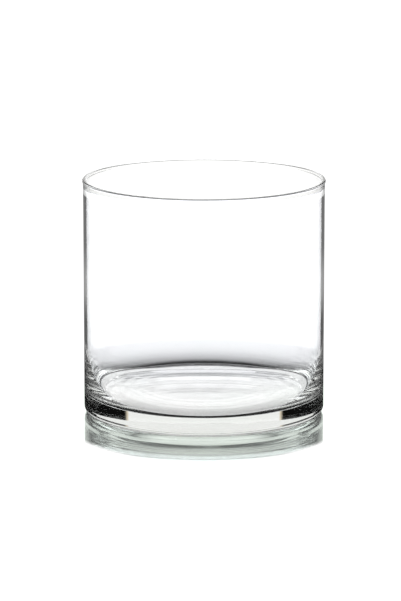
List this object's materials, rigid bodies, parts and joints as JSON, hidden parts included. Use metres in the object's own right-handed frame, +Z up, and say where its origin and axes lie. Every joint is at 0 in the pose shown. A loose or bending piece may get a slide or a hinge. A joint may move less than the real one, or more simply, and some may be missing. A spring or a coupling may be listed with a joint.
{
  "type": "cylinder vase",
  "caption": "Clear glass cylinder vase about as tall as it is wide, with a thin straight wall that thickens at its foot, a rounded rim, and a thick base with a rounded heel.",
  "frame": {"origin": "on the vase's axis, in the plane that it rests on", "axes": "+Z up along the axis, out of the mouth; X and Y are any two horizontal directions, because the vase is round"},
  "size_m": [0.151, 0.151, 0.1475],
  "materials": {
    "clear_glass": "fire-polished clear soda-lime glass, smooth, with a faint green tint where it is thick"
  },
  "bodies": {
    "root": {"cylinder_wall": "clear_glass", "thick_base": "clear_glass"}
  },
  "joints": []
}
